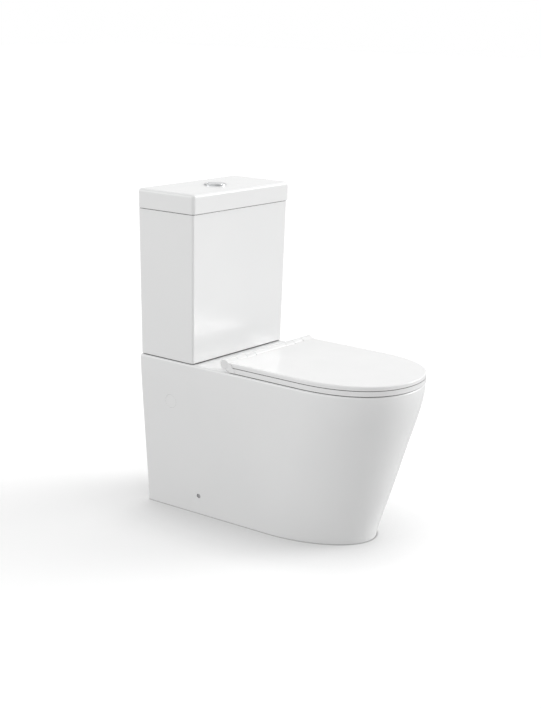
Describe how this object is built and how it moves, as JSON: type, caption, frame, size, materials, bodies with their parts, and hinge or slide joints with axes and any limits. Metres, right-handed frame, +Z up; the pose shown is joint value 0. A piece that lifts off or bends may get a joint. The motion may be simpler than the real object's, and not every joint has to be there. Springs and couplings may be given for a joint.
{
  "type": "close coupled toilet",
  "caption": "Back-to-wall close coupled toilet: skirted china pan, slim tapered cistern with lift-off lid and dual push button, D-shaped seat and lid on a barrel hinge.",
  "frame": {"origin": "on the floor, midway between the wall plane and the front tip of the closed seat, on the centre line", "axes": "+Z up, +Y towards the wall behind the toilet, +X across (the left side as seen in the reference view is -X)"},
  "size_m": [0.369, 0.71, 0.8261],
  "materials": {
    "glazed_china": "gloss glaze",
    "cap_plastic": "gloss",
    "seat_plastic": "gloss",
    "hinge_plastic": "satin",
    "chrome": "polished",
    "steel": "bright",
    "rubber": "matt",
    "buffer": "satin",
    "works_white": "moulded",
    "works_grey": "moulded",
    "works_blue": "moulded"
  },
  "bodies": {
    "base": {"pan": "glazed_china", "pan_bowl": "glazed_china", "pan_trap": "glazed_china", "cistern_body": "glazed_china", "cistern_buffers": "rubber", "coupling_bolts": "steel", "coupling_rubber_washers": "rubber", "coupling_steel_washers": "steel", "coupling_wing_nuts": "works_white", "coupling_gasket": "rubber", "flush_valve_gasket": "rubber", "flush_valve_base": "works_white", "flush_valve_nut": "works_white", "flush_valve_tower": "works_white", "fill_valve_body": "works_white", "inlet_filter": "works_grey", "fill_valve_washer": "rubber", "fill_valve_nut": "works_white", "fill_valve_head": "works_grey", "fill_valve_cap": "works_grey", "hinge_post_left": "hinge_plastic", "hinge_post_right": "hinge_plastic", "hinge_pin_left": "steel", "hinge_pin_right": "steel", "seat_fixing_bolts": "steel", "seat_fixing_bushes": "rubber", "seat_fixing_nuts": "works_white", "side_cap_left": "cap_plastic", "side_cap_right": "cap_plastic", "floor_brackets": "works_white", "side_screws": "steel"},
    "seat": {"seat_ring": "seat_plastic", "seat_buffers": "buffer", "hinge_cap_left": "hinge_plastic", "hinge_cap_right": "hinge_plastic", "seat_damper": "works_grey"},
    "lid": {"seat_lid": "seat_plastic", "lid_buffers": "buffer", "lid_damper": "works_grey"},
    "cistern_cover": {"cistern_lid": "glazed_china", "lid_pads": "buffer", "button_bezel": "chrome", "button_housing": "works_white", "housing_nut": "works_white", "full_button_spring": "steel", "half_button_spring": "steel"},
    "full_button": {"full_flush_button": "chrome", "full_flush_rod": "works_blue"},
    "half_button": {"half_flush_button": "chrome", "half_flush_rod": "works_blue"},
    "full_plunger": {"full_plunger": "works_blue"},
    "half_plunger": {"half_plunger": "works_blue"},
    "flush_valve": {"valve_core": "works_blue", "valve_seal": "rubber", "overflow_tube": "works_blue"},
    "float": {"float_cup": "works_blue", "float_link": "works_grey"},
    "fill_lever": {"float_lever": "works_grey"}
  },
  "joints": [
    {"name": "seat_hinge", "type": "hinge", "parent": "base", "child": "seat", "pos_m": [0, 0.0815, 0.419], "axis": [-1, 0, 0], "range_deg": [0, 95]},
    {"name": "lid_hinge", "type": "hinge", "parent": "seat", "child": "lid", "pos_m": [0, 0.0815, 0.419], "axis": [1, 0, 0], "range_deg": [-98, 0]},
    {"name": "cistern_lid_lift", "type": "slide", "parent": "base", "child": "cistern_cover", "axis": [0, 0, 1], "range_m": [0, 0.15]},
    {"name": "full_flush_press", "type": "slide", "parent": "cistern_cover", "child": "full_button", "axis": [0, 0, -1], "range_m": [0, 0.007], "stiffness_N_per_m": 300, "springref_m": -0.006, "deforming": ["full_button_spring"]},
    {"name": "half_flush_press", "type": "slide", "parent": "cistern_cover", "child": "half_button", "axis": [0, 0, -1], "range_m": [0, 0.007], "stiffness_N_per_m": 300, "springref_m": -0.006, "deforming": ["half_button_spring"]},
    {"name": "full_plunger_slide", "type": "slide", "parent": "base", "child": "full_plunger", "axis": [0, 0, -1], "range_m": [0, 0.007]},
    {"name": "half_plunger_slide", "type": "slide", "parent": "base", "child": "half_plunger", "axis": [0, 0, -1], "range_m": [0, 0.007]},
    {"name": "valve_lift", "type": "slide", "parent": "base", "child": "flush_valve", "axis": [0, 0, 1], "range_m": [0, 0.0175]},
    {"name": "float_slide", "type": "slide", "parent": "base", "child": "float", "axis": [0, 0, 1], "range_m": [0, 0.02]},
    {"name": "float_lever_hinge", "type": "hinge", "parent": "base", "child": "fill_lever", "pos_m": [-0.134, 0.2385, 0.655], "axis": [0, -1, 0], "range_deg": [0, 28.98]}
  ],
  "couplings": [
    {"joint": "full_plunger_slide", "follows": "full_flush_press", "ratio": 1},
    {"joint": "half_plunger_slide", "follows": "half_flush_press", "ratio": 1},
    {"joint": "valve_lift", "follows": "full_flush_press", "ratio": 2.5},
    {"joint": "float_lever_hinge", "follows": "float_slide", "rad_per_m": 25.28}
  ]
}
